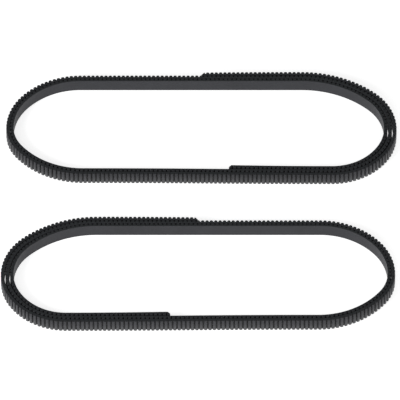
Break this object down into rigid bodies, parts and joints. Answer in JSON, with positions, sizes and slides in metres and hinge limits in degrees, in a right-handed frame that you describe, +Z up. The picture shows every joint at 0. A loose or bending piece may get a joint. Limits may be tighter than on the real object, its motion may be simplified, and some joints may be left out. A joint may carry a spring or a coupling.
{
  "type": "pair of toothed climbing skin straps",
  "caption": "Pair of open-ended toothed rubber straps with cord reinforcement and nylon-faced teeth, wound into long loops and standing on their edges.",
  "frame": {"origin": "on the ground plane, below the middle of the pair", "axes": "+Z up, +X along the long sides of both loops, +Y from the second strap towards the first"},
  "size_m": [0.2724, 0.2214, 0.01],
  "materials": {
    "strap_rubber": "matt",
    "tooth_facing": "matt",
    "tension_cord": "satin"
  },
  "bodies": {
    "strap_a_inner_link_2": {"strap_a_inner_link_2_backing": "strap_rubber", "strap_a_inner_link_2_teeth": "tooth_facing", "strap_a_inner_link_2_cords": "tension_cord"},
    "strap_a_inner_link_1": {"strap_a_inner_link_1_backing": "strap_rubber", "strap_a_inner_link_1_teeth": "tooth_facing", "strap_a_inner_link_1_cords": "tension_cord"},
    "strap_a_coil": {"strap_a_coil_backing": "strap_rubber", "strap_a_coil_teeth": "tooth_facing", "strap_a_coil_cords": "tension_cord"},
    "strap_a_outer_link_1": {"strap_a_outer_link_1_backing": "strap_rubber", "strap_a_outer_link_1_teeth": "tooth_facing", "strap_a_outer_link_1_cords": "tension_cord"},
    "strap_a_outer_link_2": {"strap_a_outer_link_2_backing": "strap_rubber", "strap_a_outer_link_2_teeth": "tooth_facing", "strap_a_outer_link_2_cords": "tension_cord"},
    "strap_a_outer_link_3": {"strap_a_outer_link_3_backing": "strap_rubber", "strap_a_outer_link_3_teeth": "tooth_facing", "strap_a_outer_link_3_cords": "tension_cord"},
    "strap_b_inner_link_2": {"strap_b_inner_link_2_backing": "strap_rubber", "strap_b_inner_link_2_teeth": "tooth_facing", "strap_b_inner_link_2_cords": "tension_cord"},
    "strap_b_inner_link_1": {"strap_b_inner_link_1_backing": "strap_rubber", "strap_b_inner_link_1_teeth": "tooth_facing", "strap_b_inner_link_1_cords": "tension_cord"},
    "strap_b_coil": {"strap_b_coil_backing": "strap_rubber", "strap_b_coil_teeth": "tooth_facing", "strap_b_coil_cords": "tension_cord"},
    "strap_b_outer_link_1": {"strap_b_outer_link_1_backing": "strap_rubber", "strap_b_outer_link_1_teeth": "tooth_facing", "strap_b_outer_link_1_cords": "tension_cord"},
    "strap_b_outer_link_2": {"strap_b_outer_link_2_backing": "strap_rubber", "strap_b_outer_link_2_teeth": "tooth_facing", "strap_b_outer_link_2_cords": "tension_cord"},
    "strap_b_outer_link_3": {"strap_b_outer_link_3_backing": "strap_rubber", "strap_b_outer_link_3_teeth": "tooth_facing", "strap_b_outer_link_3_cords": "tension_cord"}
  },
  "joints": [
    {"name": "strap_a_inner_bend_1", "type": "hinge", "parent": "strap_a_coil", "child": "strap_a_inner_link_1", "pos_m": [0.06159, 0.02591, 0], "axis": [0, 0, -1], "range_deg": [0, 16], "stiffness_Nm_per_rad": 0.003},
    {"name": "strap_a_inner_bend_2", "type": "hinge", "parent": "strap_a_inner_link_1", "child": "strap_a_inner_link_2", "pos_m": [0.04059, 0.0262, 0], "axis": [0, 0, -1], "range_deg": [0, 16], "stiffness_Nm_per_rad": 0.003},
    {"name": "strap_a_outer_bend_1", "type": "hinge", "parent": "strap_a_coil", "child": "strap_a_outer_link_1", "pos_m": [0.06404, 0.10915, 0], "axis": [0, 0, -1], "range_deg": [0, 16], "stiffness_Nm_per_rad": 0.003},
    {"name": "strap_a_outer_bend_2", "type": "hinge", "parent": "strap_a_outer_link_1", "child": "strap_a_outer_link_2", "pos_m": [0.04304, 0.10907, 0], "axis": [0, 0, -1], "range_deg": [0, 16], "stiffness_Nm_per_rad": 0.003},
    {"name": "strap_a_outer_bend_3", "type": "hinge", "parent": "strap_a_outer_link_2", "child": "strap_a_outer_link_3", "pos_m": [0.02204, 0.10891, 0], "axis": [0, 0, -1], "range_deg": [0, 16], "stiffness_Nm_per_rad": 0.003},
    {"name": "strap_b_inner_bend_1", "type": "hinge", "parent": "strap_b_coil", "child": "strap_b_inner_link_1", "pos_m": [-0.06159, -0.10319, 0], "axis": [0, 0, 1], "range_deg": [0, 16], "stiffness_Nm_per_rad": 0.003},
    {"name": "strap_b_inner_bend_2", "type": "hinge", "parent": "strap_b_inner_link_1", "child": "strap_b_inner_link_2", "pos_m": [-0.04059, -0.1029, 0], "axis": [0, 0, 1], "range_deg": [0, 16], "stiffness_Nm_per_rad": 0.003},
    {"name": "strap_b_outer_bend_1", "type": "hinge", "parent": "strap_b_coil", "child": "strap_b_outer_link_1", "pos_m": [-0.06404, -0.01996, 0], "axis": [0, 0, 1], "range_deg": [0, 16], "stiffness_Nm_per_rad": 0.003},
    {"name": "strap_b_outer_bend_2", "type": "hinge", "parent": "strap_b_outer_link_1", "child": "strap_b_outer_link_2", "pos_m": [-0.04304, -0.02003, 0], "axis": [0, 0, 1], "range_deg": [0, 16], "stiffness_Nm_per_rad": 0.003},
    {"name": "strap_b_outer_bend_3", "type": "hinge", "parent": "strap_b_outer_link_2", "child": "strap_b_outer_link_3", "pos_m": [-0.02204, -0.02019, 0], "axis": [0, 0, 1], "range_deg": [0, 16], "stiffness_Nm_per_rad": 0.003},
    {"name": "strap_b_lift_off", "type": "slide", "parent": "strap_a_coil", "child": "strap_b_coil", "axis": [0, 0, 1], "range_m": [0, 0.06]}
  ]
}
